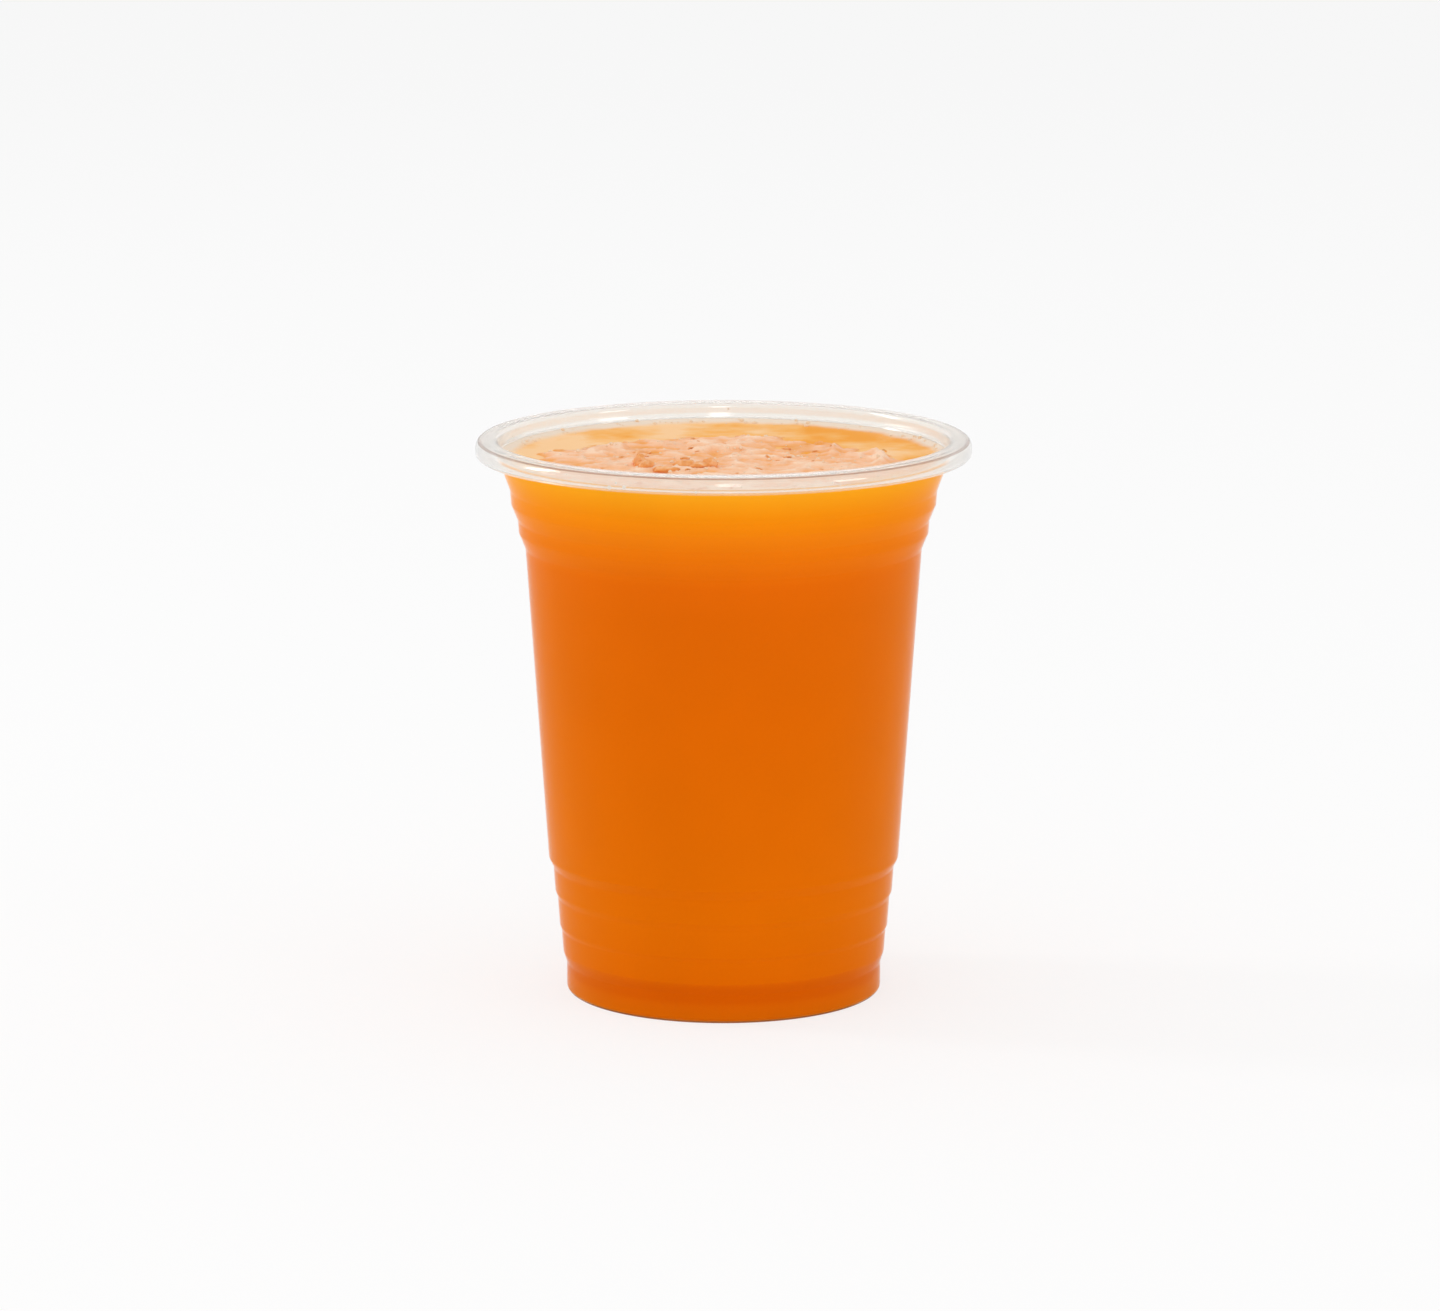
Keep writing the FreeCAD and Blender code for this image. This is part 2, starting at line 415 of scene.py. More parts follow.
# Each finish: its colour, index, roughness, clearness and coat.
PLASTICS = {
    "clear_polypropylene": ("fbfaf7", 1.08, 0.22, 0.93, 1.0),
    "clear_polypropylene_wetted": ("fdfdfc", 1.065, 0.08, 1.0, 0.0),
    # The bend's colour is a painted dark line: painted shade at the shoulder of the rim.
    "clear_polypropylene_bend_painted_shade": ("c6b5ad", 1.08, 0.22, 0.93, 0.2),
    "clear_polypropylene_crest": ("fbf7f2", 1.08, 0.22, 0.93, 0.15),
    # The heel's orange-brown is painted light: the drink's colour that the round of the heel would
    # carry.
    "clear_polypropylene_heel_painted_light": ("cf8544", 1.065, 0.08, 0.5, 0.0),
}
DRY, WETTED, BEND, CREST, HEEL = range(len(PLASTICS))


def clear_plastic(name, colour, index, roughness, clearness, coat):
    """Thermoformed polypropylene, which lets light through to the drink unbent."""
    material = bpy.data.materials.new(name)
    material.use_nodes = True
    tree = material.node_tree
    tree.nodes.clear()
    place = add(tree, "ShaderNodeTexCoord").outputs["Object"]
    ripple = add(tree, "ShaderNodeTexNoise", {"Vector": place, "Scale": 1 / RIPPLE_WIDTH,
                                              "Detail": 1.0, "Roughness": 0.4})
    bump = add(tree, "ShaderNodeBump", {"Height": ripple.outputs[0], "Distance": RIPPLE_HEIGHT})
    plastic = add(tree, "ShaderNodeBsdfPrincipled", {
        "Base Color": linear(colour), "Roughness": roughness, "IOR": index,
        "Transmission Weight": clearness, "Coat Weight": coat,
        "Coat Roughness": COAT_ROUGHNESS, "Coat IOR": COAT_INDEX,
        "Normal": bump.outputs[0], "Coat Normal": bump.outputs[0],
        "Sheen Weight": HAZE * coat, "Sheen Roughness": HAZE_ROUGHNESS})
    clear = add(tree, "ShaderNodeBsdfTransparent")
    path = add(tree, "ShaderNodeLightPath").outputs
    from_lamp = add(tree, "ShaderNodeMath", {0: path["Is Shadow Ray"], 1: path["Is Diffuse Ray"]},
                    operation="MAXIMUM")
    surface = add(tree, "ShaderNodeMixShader",
                  {0: from_lamp.outputs[0], 1: plastic.outputs[0], 2: clear.outputs[0]})
    add(tree, "ShaderNodeOutputMaterial", {"Surface": surface.outputs[0]})
    return material


plastics = [clear_plastic(name, *values) for name, values in PLASTICS.items()]

# %% [markdown]
# ## The cup
#
# The section is the outline as it is, with a few more points on its long straight
# stretches. There is one close to each end, so that the shading of a bend doesn't
# spread into the straight wall beside it.

# %% The cup
HOLD = 0.3 * MM           # how far the point near each end is from that end
LONGEST = 4 * MM
CREST_HEIGHT = 0.25 * MM  # the crest is what lies this near the top of the rim
BEND_HEIGHT = 0.70 * MM   # the bend is the shoulder of the rim, outside and below that
BEND_WIDTH = 1.2 * MM
HEEL_HEIGHT = 0.55 * MM


def with_holds(points):
    """The same outline, with points near the ends of its long stretches and between."""
    filled = [points[0]]
    for start, stop in zip(points, points[1:]):
        length = math.dist(start, stop)
        if length > 3 * HOLD:
            steps = math.ceil(length / LONGEST)
            shares = [HOLD / length] + [n / steps for n in range(1, steps)] + [1 - HOLD / length]
            filled += [tuple(a + (b - a) * share for a, b in zip(start, stop))
                       for share in shares]
        filled.append(stop)
    return filled


def section_object(name, outline):
    """A section for the rule, from (radius, height) points."""
    return points_object(name, [(radius, 0, height) for radius, height in outline])


cup_section = section_object("cup_section", with_holds(cup_outline))
cup = grow("thermoformed_cup", skin_tree, Section=cup_section, Path=circle,
           Material=plastics[DRY])
for plastic in plastics[1:]:
    cup.data.materials.append(plastic)
# The shoulder faces get the painted dark line, and the heel faces the painted light of the drink's
# colour.
for face in cup.data.polygons:
    below_rim = cup_high.z - face.center.z
    from_side = cup_high.x - face.center.xy.length
    if face.center.z < HEEL_HEIGHT:
        face.material_index = HEEL
    elif face.center.z < juice_level:
        face.material_index = WETTED
    elif below_rim <= CREST_HEIGHT:
        face.material_index = CREST
    elif below_rim < BEND_HEIGHT and from_side < BEND_WIDTH:
        face.material_index = BEND
keep(cup, "clear_plastic", "cup")

# %% [markdown]
# ## The juice
#
# The juice fills the cup, and clings to its wall. It reaches a little way into the
# plastic, so that no air shows between them. Where its surface meets the wall it
# climbs in a meniscus, by the same height all the way round.

# %% The juice
BITE = 0.08 * MM         # how far it reaches into the plastic
MENISCUS_HEIGHT = 1.0 * MM
MENISCUS_WIDTH = 1.5 * MM
SURFACE_STEP = 0.25 * MM
SURFACE_GROWTH = 1.12    # how many times as long each step inwards is as the one before


def pushed(points, distance):
    """An open outline moved to its right by a distance."""
    result = []
    for before, point, after in zip([points[0]] + points, points, points[1:] + [points[-1]]):
        along = Vector((after[0] - before[0], after[1] - before[1])).normalized()
        result.append((point[0] + along.y * distance, point[1] - along.x * distance))
    return result


def up_to(outline, height):
    """The start of an outline, cut off where it first passes a height on its way up."""
    for number, ((r1, z1), (r2, z2)) in enumerate(zip(outline, outline[1:])):
        if z1 <= height < z2:
            edge = r1 + (r2 - r1) * (height - z1) / (z2 - z1)
            return outline[:number + 1] + [(edge, height)]


contact = juice_level + MENISCUS_HEIGHT
wetted = up_to(cup_outline[::-1], contact)
wall_radius = wetted[-1][0]
juice_outline = with_holds(pushed(wetted, BITE))
step = SURFACE_STEP
distance = step
while distance < wall_radius:
    climb = MENISCUS_HEIGHT * math.exp(-distance / MENISCUS_WIDTH)
    juice_outline.append((wall_radius - distance, juice_level + climb))
    step *= SURFACE_GROWTH
    distance += step
juice_outline.append((0.0, juice_level))
print("juice outline", len(juice_outline), "points, wall radius", round(wall_radius / MM, 2))

# %% [markdown]
# ## Carrot juice
#
# Pressed carrot juice is a thick suspension: light enters it, is scattered by the
# pulp and comes out again deep orange, having lost nearly all its blue. Near the
# surface it looks yellower and brighter, and down in the foot a little darker.
#
# The scattering isn't worked out here. The side has a colour that follows the height,
# the same all the way round: the juice's own orange with painted light, yellower and
# brighter near the top where light comes in through the surface, and painted shade,
# darker down in the foot. A warm sheen lightens it where it is seen at a slant. The
# surface is a wet gloss with patches of fine foam on it, a few more on the left, and a
# band of foam along the wall. The same pale colour up the meniscus is painted
# reflection of the bright light above. These colours were matched.

# %% Juice finish
# Heights on the side of the juice in millimetres, and its colour there, with painted
# light near the top and painted shade in the foot.
SIDE_COLOURS_AND_PAINTED_LIGHT = (
    (0.6, "da6802"), (3.4, "dc6301"), (4.2, "d75b00"), (7.2, "da5e00"), (7.7, "e26900"),
    (20.0, "e46d00"), (60.0, "e36701"), (79.0, "e46603"), (85.0, "e86805"), (91.0, "f07609"),
    (95.0, "f6820c"), (99.0, "fb900a"), (103.0, "ffa519"), (105.0, "ffb83a"),
)
CLOUD_WIDTH = 14 * MM
CLOUD_SHARE = 0.03
FOAM_BAND = 2.8 * MM     # the width of the band along the wall
FOAM_WANDER = 2.0 * MM   # how unevenly the band ends
# The colour of the foam band; up the meniscus the same colour is painted reflection of the light
# above.
FOAM_AND_REFLECTION_COLOUR = "f1dfcc"
FILM_WIDTH = 12 * MM     # the size of the patches
FILM_COLOURS = ((0.36, "f9a434"), (0.47, "fcb861"), (0.64, "ffd09a"))
FILM_DRIFT = 0.15        # added to the pattern at the left, and taken off at the right
MENISCUS_FADE = 1.3      # a power, which keeps the painted reflection nearer the top of the meniscus


def blank_material(name):
    """A material that is empty but for the place that it is read at."""
    material = bpy.data.materials.new(name)
    material.use_nodes = True
    material.node_tree.nodes.clear()
    place = add(material.node_tree, "ShaderNodeTexCoord").outputs["Object"]
    return material, material.node_tree, place


juice_side, tree, place = blank_material("carrot_juice_behind_plastic")
height = add(tree, "ShaderNodeSeparateXYZ", {0: place}).outputs["Z"]
share = add(tree, "ShaderNodeMath", {0: height, 1: cup_high.z}, operation="DIVIDE").outputs[0]
stops = [(z * MM / cup_high.z, colour) for z, colour in SIDE_COLOURS_AND_PAINTED_LIGHT]
colour_and_painted_light = add(tree, "ShaderNodeValToRGB", {0: share}, stops=stops).outputs[0]
cloud = add(tree, "ShaderNodeTexNoise", {"Vector": place, "Scale": 1 / CLOUD_WIDTH,
                                         "Detail": 3.0}).outputs[0]
cloud = add(tree, "ShaderNodeMapRange", {"Value": cloud, "From Min": 0.3, "From Max": 0.7,
                                         "To Min": 1 - CLOUD_SHARE, "To Max": 1.0}).outputs[0]
colour = add(tree, "ShaderNodeVectorMath", {0: colour_and_painted_light, "Scale": cloud},
             operation="SCALE").outputs[0]
juice = add(tree, "ShaderNodeBsdfPrincipled", {
    "Base Color": colour, "Roughness": 0.5, "IOR": 1.34, "Specular IOR Level": 0.0,
    "Sheen Weight": 1.0, "Sheen Roughness": 0.45, "Sheen Tint": linear("ffba3c")})
add(tree, "ShaderNodeOutputMaterial", {"Surface": juice.outputs[0]})

juice_top, tree, place = blank_material("carrot_juice_surface")
height = add(tree, "ShaderNodeSeparateXYZ", {0: place}).outputs["Z"]
climbed = add(tree, "ShaderNodeMapRange", {
    "Value": height, "From Min": juice_level, "From Max": juice_level + MENISCUS_HEIGHT}).outputs[0]
climbed = add(tree, "ShaderNodeMath", {0: climbed, 1: MENISCUS_FADE}, operation="POWER").outputs[0]
flat = add(tree, "ShaderNodeVectorMath", {0: place, 1: (1, 1, 0)}, operation="MULTIPLY").outputs[0]
radius = add(tree, "ShaderNodeVectorMath", {0: flat}, operation="LENGTH").outputs["Value"]
wander = add(tree, "ShaderNodeTexNoise", {"Vector": place, "Scale": 0.5 / FOAM_BAND,
                                          "Detail": 3.0}).outputs[0]
radius = add(tree, "ShaderNodeMath", {0: wander, 1: FOAM_WANDER, 2: radius},
             operation="MULTIPLY_ADD").outputs[0]
band = add(tree, "ShaderNodeMapRange", {
    "Value": radius, "From Min": wall_radius - FOAM_BAND + FOAM_WANDER / 2,
    "From Max": wall_radius - FOAM_BAND / 3 + FOAM_WANDER / 2, "To Max": 1.0}).outputs[0]
foam_and_painted_reflection = add(tree, "ShaderNodeMath", {0: climbed, 1: band}, operation="MAXIMUM").outputs[0]
across = add(tree, "ShaderNodeSeparateXYZ", {0: place}).outputs["X"]
drift = add(tree, "ShaderNodeMapRange", {
    "Value": across, "From Min": -wall_radius, "From Max": wall_radius,
    "To Min": FILM_DRIFT, "To Max": -FILM_DRIFT}).outputs[0]
patch = add(tree, "ShaderNodeTexNoise", {"Vector": place, "Scale": 1 / FILM_WIDTH,
                                         "Detail": 3.0}).outputs[0]
film = add(tree, "ShaderNodeMath", {0: patch, 1: drift}, operation="ADD").outputs[0]
film_colour = add(tree, "ShaderNodeValToRGB", {0: film}, stops=FILM_COLOURS).outputs[0]
colour = add(tree, "ShaderNodeMix", {"Factor": foam_and_painted_reflection, 6: film_colour, 7: linear(FOAM_AND_REFLECTION_COLOUR)},
             data_type="RGBA").outputs[2]
juice = add(tree, "ShaderNodeBsdfPrincipled", {
    "Base Color": colour, "Roughness": 0.16, "IOR": 1.03, "Specular IOR Level": 0.3})
add(tree, "ShaderNodeOutputMaterial", {"Surface": juice.outputs[0]})

juice_section = section_object("juice_section", juice_outline)
juice = grow("carrot_juice", skin_tree, Section=juice_section, Path=circle, Material=juice_side)
juice.data.materials.append(juice_top)
for face in juice.data.polygons:
    face.material_index = int(face.center.z > juice_level - TINY
                              and face.center.xy.length < wall_radius - BITE)
keep(juice, "carrot_juice", "juice")

# %% [markdown]
# ## The raft of froth
#
# A juicer beats air into the juice, and the air rises with fine pulp to make a raft of
# froth. Its edge runs in waves, and where it is thin it breaks into a lacy coast with
# holes, in which the juice shows. So the raft is made a little larger than its node
# and then gets its relief: broad swells, curds, folds, the domes of the finest bubbles
# and a few ragged ridges where it has piled up. Near the edge the whole relief sinks,
# and what is lower than the juice is out of sight below its surface.
#
# The raft is made by the same rule as the cup. Its path is its own node's outline,
# found by looking outwards from the axis until the look meets the node's side, then
# stretched and given finer waves.

# %% The raft's outline
FROTH_TURNS = 480
FROTH_GROW = 1.10
LOOK_HEIGHT = 0.1 * MM
# Waves on top of the node's own: how many round the edge, share of radius, phase. The
# first brings the edge out at the back left and in at the front right.
LACE_WAVES = ((1, 0.07, -0.8), (17, 0.016, 0.7), (31, 0.012, 2.1), (53, 0.007, 0.4))

froth_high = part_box("froth")[1]
froth_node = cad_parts["froth"]
side_radius = up_to(cup_outline[::-1], froth_high.z)[-1][0]
eye = Vector((0, 0, juice_level + LOOK_HEIGHT))
edge = []
for turn in range(FROTH_TURNS):
    angle = 2 * math.pi * turn / FROTH_TURNS
    direction = Vector((math.cos(angle), math.sin(angle), 0))
    place = froth_node.ray_cast(eye, direction)[1]
    lace = sum(size * math.sin(count * angle + phase) for count, size, phase in LACE_WAVES)
    edge.append(direction * min(place.xy.length * (FROTH_GROW + lace), side_radius))
coast = [place for place in edge if place.length < side_radius - TINY]
raft_path = points_object("raft_path", edge)
raft_coast = points_object("raft_coast", [place + eye for place in coast])

FROTH_RINGS = 116
FROTH_BODY = 0.9 * MM    # how far it reaches below the surface of the juice
UNDERSIDE = 0.97         # the underside's share of the raft's width
top = [(ring / FROTH_RINGS, juice_level) for ring in range(FROTH_RINGS + 1)]
below = [(UNDERSIDE, juice_level - FROTH_BODY), (0.0, juice_level - FROTH_BODY)]
raft_section = section_object("raft_section", top + below)

# Ridges where the froth has piled up: each from one point to another, in millimetres.
RIDGES = (
    ((18.7, 17.1), (20.8, 11.5)), ((20.8, 11.5), (21.6, 6.5)), ((21.6, 6.5), (20.9, 2.6)),
    ((29.8, 12.2), (30.8, 8.0)), ((29.0, 2.6), (30.4, -4.0)), ((30.4, -4.0), (29.6, -10.4)),
    ((-5.0, 5.2), (2.6, 6.8)), ((-25.0, 3.5), (-19.0, 8.6)),
)
RIDGE_STEP = 0.6 * MM
ridge_points = []
for start, stop in RIDGES:
    start, stop = (Vector(end + (0,)) * MM for end in (start, stop))
    steps = math.ceil((stop - start).length / RIDGE_STEP)
    ridge_points += [start.lerp(stop, number / steps) + eye for number in range(steps + 1)]
raft_ridges = points_object("raft_ridges", ridge_points)
print("raft", len(coast), "of", FROTH_TURNS, "points of its edge lie free of the wall")

# %% [markdown]
# ## Relief of the froth
#
# The swells, curds, folds and bubbles are one noise each, with a width and a height of
# their own. The ridges follow lines, and a noise makes their edges ragged. The sum
# sinks towards the free edge. It is added to each point's height, and also kept as an
# attribute, from which the finish takes its colour. The ridges count for less in the
# attribute, because a pale line along each would look drawn on.

# %% The relief rule
# Widths and heights.
SWELL = (11 * MM, 0.6 * MM)
CURDS = (4.2 * MM, 0.55 * MM)
FOLDS = (7.5 * MM, 0.45 * MM)
BUBBLES = (0.95 * MM, 0.12 * MM)
RIDGE = (2.0 * MM, 1.1 * MM)
FROTH_STANDS = 0.35 * MM  # how high the raft stands away from its free edge
COAST_WIDTH = 5 * MM
COAST_DROP = -0.55 * MM
FOLD_SHARPNESS = 9.0
RIDGE_PALER = 0.35 * MM   # what a ridge adds to the attribute
RAGGED_WIDTH = 2.2 * MM   # the grain of the noise at a ridge's edges
RAGGED_REACH = 3.6 * MM   # how far that noise can move them

raft_tree, given = new_tree("froth_relief", Section="Object", Path="Object", Coast="Object",
                            Ridges="Object", Material="Material")
raft = add(raft_tree, "GeometryNodeGroup",
           {name: given[name] for name in ("Section", "Path", "Material")}, node_tree=skin_tree)
shore = add(raft_tree, "GeometryNodeObjectInfo", {0: given["Coast"]}).outputs["Geometry"]
point = add(raft_tree, "GeometryNodeInputPosition").outputs[0]
height = add(raft_tree, "ShaderNodeSeparateXYZ", {0: point}).outputs["Z"]
on_top = add(raft_tree, "FunctionNodeCompare", {0: height, 1: juice_level - TINY},
             operation="GREATER_THAN").outputs[0]
inland = add(raft_tree, "GeometryNodeProximity", {0: shore, "Sample Position": point},
             target_element="POINTS").outputs["Distance"]
relief = add(raft_tree, "ShaderNodeMapRange", {
    "Value": inland, "From Max": COAST_WIDTH, "To Min": COAST_DROP, "To Max": FROTH_STANDS,
}).outputs[0]
for width, size in (SWELL, CURDS):
    waves = add(raft_tree, "ShaderNodeTexNoise", {"Vector": point, "Scale": 1 / width,
                                                  "Detail": 3.0, "Roughness": 0.55}).outputs[0]
    part = add(raft_tree, "ShaderNodeMath", {0: waves, 1: 2 * size, 2: -size},
               operation="MULTIPLY_ADD").outputs[0]
    relief = add(raft_tree, "ShaderNodeMath", {0: relief, 1: part}, operation="ADD").outputs[0]
waves = add(raft_tree, "ShaderNodeTexNoise", {"Vector": point, "Scale": 1 / FOLDS[0],
                                              "Detail": 2.0, "Distortion": 0.6}).outputs[0]
ridge = add(raft_tree, "ShaderNodeMath", {0: waves, 1: 2.0, 2: -1.0}, operation="MULTIPLY_ADD")
ridge = add(raft_tree, "ShaderNodeMath", {0: ridge.outputs[0]}, operation="ABSOLUTE")
ridge = add(raft_tree, "ShaderNodeMath", {0: 1.0, 1: ridge.outputs[0]}, operation="SUBTRACT")
ridge = add(raft_tree, "ShaderNodeMath", {0: ridge.outputs[0], 1: FOLD_SHARPNESS},
            operation="POWER")
relief = add(raft_tree, "ShaderNodeMath", {0: ridge.outputs[0], 1: FOLDS[1], 2: relief},
             operation="MULTIPLY_ADD").outputs[0]
cells = add(raft_tree, "ShaderNodeTexVoronoi", {"Vector": point, "Scale": 1 / BUBBLES[0]})
relief = add(raft_tree, "ShaderNodeMath", {0: cells.outputs["Distance"], 1: -BUBBLES[1],
                                           2: relief}, operation="MULTIPLY_ADD").outputs[0]
ridges = add(raft_tree, "GeometryNodeObjectInfo", {0: given["Ridges"]}).outputs["Geometry"]
away = add(raft_tree, "GeometryNodeProximity", {0: ridges, "Sample Position": point},
           target_element="POINTS").outputs["Distance"]
ragged = add(raft_tree, "ShaderNodeTexNoise", {"Vector": point, "Scale": 1 / RAGGED_WIDTH,
                                               "Detail": 3.0, "Roughness": 0.6}).outputs[0]
away = add(raft_tree, "ShaderNodeMath", {0: ragged, 1: RAGGED_REACH, 2: away},
           operation="MULTIPLY_ADD").outputs[0]
pile = add(raft_tree, "ShaderNodeMapRange", {
    "Value": away, "From Min": RAGGED_REACH / 3, "From Max": RIDGE[0] + RAGGED_REACH / 2,
    "To Min": 1.0, "To Max": 0.0}, interpolation_type="SMOOTHSTEP").outputs[0]
thickness = add(raft_tree, "ShaderNodeMath", {0: pile, 1: RIDGE_PALER, 2: relief},
                operation="MULTIPLY_ADD").outputs[0]
relief = add(raft_tree, "ShaderNodeMath", {0: pile, 1: RIDGE[1], 2: relief},
             operation="MULTIPLY_ADD").outputs[0]
kept = add(raft_tree, "GeometryNodeStoreNamedAttribute",
           {0: raft.outputs[0], "Name": "froth_height", "Value": thickness})
rise = add(raft_tree, "ShaderNodeCombineXYZ", {"Z": relief}).outputs[0]
raised = add(raft_tree, "GeometryNodeSetPosition",
             {0: kept.outputs[0], "Selection": on_top, "Offset": rise})
finish_tree(raft_tree, raised.outputs[0], given["Material"])

# %% [markdown]
# ## Froth finish
#
# Carrot froth is fine bubbles with fine pulp in their walls. Thick froth scatters all
# the light and looks pale peach. Thin froth lets the orange of the juice through. So
# the colour follows the height that the relief kept, and is mottled where the pulp is
# not spread evenly. It also gets paler towards the front and the right, as if the
# froth were thicker there. It is wet, so it has a soft gloss.

# %% Froth
THICK_FROTH = 0.9 * MM
FROTH_LEAN = (3, -5, 0)  # shares of THICK_FROTH gained for each metre along X, Y and Z
FROTH_COLOURS = ((0.0, "f2a044"), (0.2, "f8ae69"), (0.5, "fbbd8d"), (0.85, "fdcea9"),
                 (1.0, "ffd9b9"))
MOTTLE_WIDTH = 5 * MM
MOTTLE_SQUEEZE = (1, 1.6, 1)  # the patches are shorter from front to back
MOTTLE_SHARE = 1.2
GRAIN_WIDTH = 0.7 * MM
GRAIN_HEIGHT = 0.08 * MM

froth_finish, tree, place = blank_material("wet_juice_froth")
kept = add(tree, "ShaderNodeAttribute", attribute_name="froth_height").outputs["Fac"]
thickness = add(tree, "ShaderNodeMath", {0: kept, 1: THICK_FROTH}, operation="DIVIDE").outputs[0]
squeezed = add(tree, "ShaderNodeMapping", {"Vector": place, "Scale": MOTTLE_SQUEEZE}).outputs[0]
mottle = add(tree, "ShaderNodeTexNoise", {"Vector": squeezed, "Scale": 1 / MOTTLE_WIDTH,
                                          "Detail": 4.0, "Roughness": 0.6}).outputs[0]
uneven = add(tree, "ShaderNodeMath", {0: mottle, 1: MOTTLE_SHARE, 2: -MOTTLE_SHARE / 2},
             operation="MULTIPLY_ADD").outputs[0]
thickness = add(tree, "ShaderNodeMath", {0: thickness, 1: uneven}, operation="ADD").outputs[0]
lean = add(tree, "ShaderNodeVectorMath", {0: place, 1: FROTH_LEAN}, operation="DOT_PRODUCT")
thickness = add(tree, "ShaderNodeMath", {0: thickness, 1: lean.outputs["Value"]},
                operation="ADD").outputs[0]
colour = add(tree, "ShaderNodeValToRGB", {0: thickness}, stops=FROTH_COLOURS).outputs[0]
grain = add(tree, "ShaderNodeTexNoise", {"Vector": place, "Scale": 1 / GRAIN_WIDTH,
                                         "Detail": 2.0}).outputs[0]
bump = add(tree, "ShaderNodeBump", {"Height": grain, "Distance": GRAIN_HEIGHT}).outputs[0]
froth = add(tree, "ShaderNodeBsdfPrincipled", {
    "Base Color": colour, "Roughness": 0.42, "IOR": 1.33, "Specular IOR Level": 0.3,
    "Normal": bump})
add(tree, "ShaderNodeOutputMaterial", {"Surface": froth.outputs[0]})

raft = grow("froth_raft", raft_tree, Section=raft_section, Path=raft_path, Coast=raft_coast,
            Ridges=raft_ridges, Material=froth_finish)
keep(raft, "juice_froth", "froth")

# %% [markdown]
# ## Scattering small things
#
# Bubbles, drops and shreds of pulp are each one shape, repeated. One rule strews
# copies over a piece's faces, between two heights, each turned and scaled at random
# from a fixed seed, and makes the copies real. Small copies are more common than large
# ones. The rule can keep to the faces that look towards the axis, which is how drops
# land on the inside of the wall. The middle of a bubble or a drop lies on the face, so
# half of it shows.

# %% The scattering rule
SMALL_FAVOURED = 2.5     # a power of a number from 0 to 1, which brings most near 0

scatter_tree, given = new_tree("scatter", Ground="Object", Shape="Object", Lowest="Float",
                               Highest="Float", Inwards="Float", Density="Float",
                               Smallest="Float", Largest="Float", Seed="Int",
                               Material="Material")
ground = add(scatter_tree, "GeometryNodeObjectInfo", {0: given["Ground"]}).outputs["Geometry"]
shape = add(scatter_tree, "GeometryNodeObjectInfo", {0: given["Shape"]}).outputs["Geometry"]
point = add(scatter_tree, "GeometryNodeInputPosition").outputs[0]
height = add(scatter_tree, "ShaderNodeSeparateXYZ", {0: point}).outputs["Z"]
above = add(scatter_tree, "FunctionNodeCompare", {0: height, 1: given["Lowest"]},
            operation="GREATER_THAN").outputs[0]
under = add(scatter_tree, "FunctionNodeCompare", {0: height, 1: given["Highest"]},
            operation="LESS_THAN").outputs[0]
outwards = add(scatter_tree, "ShaderNodeVectorMath", {0: point, 1: (1, 1, 0)},
               operation="MULTIPLY").outputs[0]
normal = add(scatter_tree, "GeometryNodeInputNormal").outputs[0]
facing = add(scatter_tree, "ShaderNodeVectorMath", {0: outwards, 1: normal},
             operation="DOT_PRODUCT").outputs["Value"]
facing = add(scatter_tree, "ShaderNodeMath", {0: facing, 1: given["Inwards"]},
             operation="MULTIPLY").outputs[0]
inside = add(scatter_tree, "FunctionNodeCompare", {0: facing, 1: TINY},
             operation="LESS_THAN").outputs[0]
both = add(scatter_tree, "FunctionNodeBooleanMath", {0: above, 1: under}, operation="AND")
chosen = add(scatter_tree, "FunctionNodeBooleanMath", {0: both.outputs[0], 1: inside},
             operation="AND").outputs[0]
strewn = add(scatter_tree, "GeometryNodeDistributePointsOnFaces", {
    0: ground, "Selection": chosen, "Density": given["Density"], "Seed": given["Seed"]})
spin = add(scatter_tree, "FunctionNodeRandomValue",
           {"Seed": given["Seed"], 2: 0.0, 3: 2 * math.pi}).outputs[1]
spin = add(scatter_tree, "FunctionNodeAxisAngleToRotation",
           {"Axis": (0, 0, 1), "Angle": spin}).outputs[0]
turned = add(scatter_tree, "FunctionNodeRotateRotation",
             {0: strewn.outputs["Rotation"], "Rotate By": spin}, rotation_space="LOCAL").outputs[0]
scale = add(scatter_tree, "FunctionNodeRandomValue", {"Seed": given["Seed"], 2: 0.0, 3: 1.0})
scale = add(scatter_tree, "ShaderNodeMath", {0: scale.outputs[1], 1: SMALL_FAVOURED},
            operation="POWER")
scale = add(scatter_tree, "ShaderNodeMapRange", {
    "Value": scale.outputs[0], "To Min": given["Smallest"], "To Max": given["Largest"]}).outputs[0]
copies = add(scatter_tree, "GeometryNodeInstanceOnPoints", {
    0: strewn.outputs["Points"], "Instance": shape, "Rotation": turned, "Scale": scale})
finish_tree(scatter_tree, copies.outputs[0], given["Material"])

# %% Bubbles and drops


def ball(name, flatness, faces_round):
    """A ball of radius one, pressed flat along Z."""
    mesh = bpy.data.meshes.new(name)
    shell = bmesh.new()
    bmesh.ops.create_uvsphere(shell, u_segments=faces_round, v_segments=faces_round // 2, radius=1)
    bmesh.ops.scale(shell, vec=(1, 1, flatness), verts=shell.verts)
    shell.to_mesh(mesh)
    shell.free()
    return bpy.data.objects.new(name, mesh)


